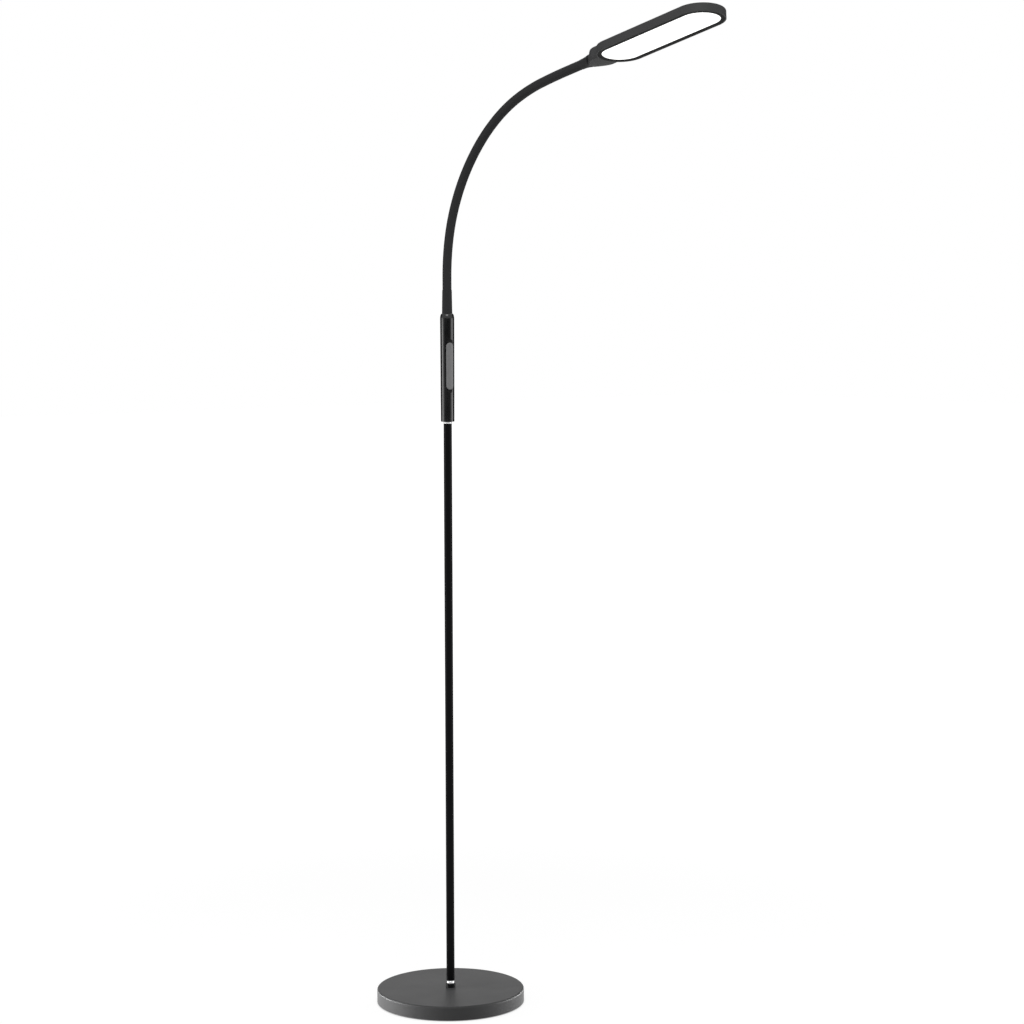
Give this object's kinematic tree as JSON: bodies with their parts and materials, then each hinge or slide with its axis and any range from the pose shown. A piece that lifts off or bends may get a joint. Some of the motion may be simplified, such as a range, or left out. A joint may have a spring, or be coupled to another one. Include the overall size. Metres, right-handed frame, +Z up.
{
  "type": "gooseneck reading floor lamp",
  "caption": "Floor-standing reading lamp: weighted round base, slim sectional pole, handset with a rocking key, flexible gooseneck and a long flat LED head that swivels.",
  "frame": {"origin": "centre of the flat underside of the base pad, on the floor", "axes": "+Z up along the pole, +X towards the side that the gooseneck and head lean to, +Y to the left of that"},
  "size_m": [0.7126, 0.23, 1.4897],
  "materials": {
    "pad_foam": "matte",
    "plate_steel": "satin",
    "zinc_steel": "satin",
    "weight_iron": "matte",
    "base_paint": "satin",
    "black_plastic": "matte",
    "collar_plastic": "gloss",
    "pole_paint": "gloss",
    "lead_pvc": "matte",
    "ring_chrome": "polished",
    "handset_gloss": "gloss",
    "board_green": "satin",
    "component_plastic": "matte",
    "key_grey": "satin",
    "ferrule_black": "matte",
    "neck_sleeve": "matte",
    "head_shell": "satin",
    "led_board_white": "satin",
    "led_phosphor": "gloss",
    "reflector_white": "satin",
    "diffuser_lit": "matte",
    "bezel_black": "satin"
  },
  "bodies": {
    "stand": {"base_pad": "pad_foam", "base_plate": "plate_steel", "plate_screws": "zinc_steel", "base_weight": "weight_iron", "base_cover": "base_paint", "inlet_jack": "black_plastic", "inlet_nut": "zinc_steel", "pole_stud": "zinc_steel", "stud_washer": "zinc_steel", "stud_lock_washer": "zinc_steel", "stud_nut": "zinc_steel", "pole_collar": "collar_plastic", "foot_ring": "ring_chrome", "pole_plug": "zinc_steel", "pole_lower": "pole_paint", "pole_middle": "pole_paint", "pole_upper": "pole_paint", "lower_nipple": "zinc_steel", "upper_nipple": "zinc_steel", "power_lead": "lead_pvc", "handset_ring": "ring_chrome", "handset_nipple": "zinc_steel", "handset_nut": "zinc_steel", "handset_front": "handset_gloss", "handset_rear": "handset_gloss", "handset_screws": "zinc_steel", "circuit_board": "board_green", "driver_parts": "component_plastic", "key_switches": "component_plastic", "key_bracket": "component_plastic", "key_pin": "zinc_steel", "lower_ferrule": "ferrule_black", "neck_segment_1": "neck_sleeve", "neck_lead": "lead_pvc"},
    "key": {"control_key": "key_grey"},
    "neck_2": {"neck_segment_2": "neck_sleeve"},
    "neck_3": {"neck_segment_3": "neck_sleeve"},
    "neck_4": {"neck_segment_4": "neck_sleeve"},
    "neck_5": {"neck_segment_5": "neck_sleeve"},
    "neck_6": {"neck_segment_6": "neck_sleeve"},
    "neck_7": {"neck_segment_7": "neck_sleeve"},
    "neck_8": {"neck_segment_8": "neck_sleeve"},
    "neck_9": {"neck_segment_9": "neck_sleeve"},
    "neck_10": {"neck_segment_10": "neck_sleeve", "upper_ferrule": "ferrule_black", "swivel_spindle": "zinc_steel", "swivel_washer": "zinc_steel", "swivel_nut": "zinc_steel"},
    "head": {"head_housing": "head_shell", "led_board": "led_board_white", "led_chips": "led_phosphor", "reflector": "reflector_white", "diffuser": "diffuser_lit", "bezel": "bezel_black"}
  },
  "joints": [
    {"name": "neck_bend_1", "type": "hinge", "parent": "stand", "child": "neck_2", "pos_m": [0, 0, 1.12628], "axis": [0, 1, 0], "range_deg": [-20, 20], "deforming": ["neck_lead"]},
    {"name": "neck_bend_2", "type": "hinge", "parent": "neck_2", "child": "neck_3", "pos_m": [0.0042, 0, 1.18165], "axis": [0.9833, 0, -0.1822], "range_deg": [-20, 20], "deforming": ["neck_lead"]},
    {"name": "neck_bend_3", "type": "hinge", "parent": "neck_3", "child": "neck_4", "pos_m": [0.01919, 0, 1.23509], "axis": [0, 1, 0], "range_deg": [-20, 20], "deforming": ["neck_lead"]},
    {"name": "neck_bend_4", "type": "hinge", "parent": "neck_4", "child": "neck_5", "pos_m": [0.04504, 0, 1.28422], "axis": [0.8241, 0, -0.5664], "range_deg": [-20, 20], "deforming": ["neck_lead"]},
    {"name": "neck_bend_5", "type": "hinge", "parent": "neck_5", "child": "neck_6", "pos_m": [0.07986, 0, 1.32747], "axis": [0, 1, 0], "range_deg": [-20, 20], "deforming": ["neck_lead"]},
    {"name": "neck_bend_6", "type": "hinge", "parent": "neck_6", "child": "neck_7", "pos_m": [0.12211, 0, 1.36349], "axis": [0.5592, 0, -0.829], "range_deg": [-20, 20], "deforming": ["neck_lead"]},
    {"name": "neck_bend_7", "type": "hinge", "parent": "neck_7", "child": "neck_8", "pos_m": [0.17055, 0, 1.39062], "axis": [0, 1, 0], "range_deg": [-20, 20], "deforming": ["neck_lead"]},
    {"name": "neck_bend_8", "type": "hinge", "parent": "neck_8", "child": "neck_9", "pos_m": [0.22308, 0, 1.40869], "axis": [0.2419, 0, -0.9703], "range_deg": [-20, 20], "deforming": ["neck_lead"]},
    {"name": "neck_bend_9", "type": "hinge", "parent": "neck_9", "child": "neck_10", "pos_m": [0.27726, 0, 1.42117], "axis": [0, 1, 0], "range_deg": [-20, 20], "deforming": ["neck_lead"]},
    {"name": "head_swivel", "type": "hinge", "parent": "neck_10", "child": "head", "pos_m": [0.33647, 0, 1.43321], "axis": [0.9799, 0, 0.1994], "range_deg": [-90, 90]},
    {"name": "key_rock", "type": "hinge", "parent": "stand", "child": "key", "pos_m": [0.00502, -0.00135, 0.995], "axis": [0.2588, 0.9659, 0], "range_deg": [-1.5, 1.5], "stiffness_Nm_per_rad": 1.5}
  ]
}
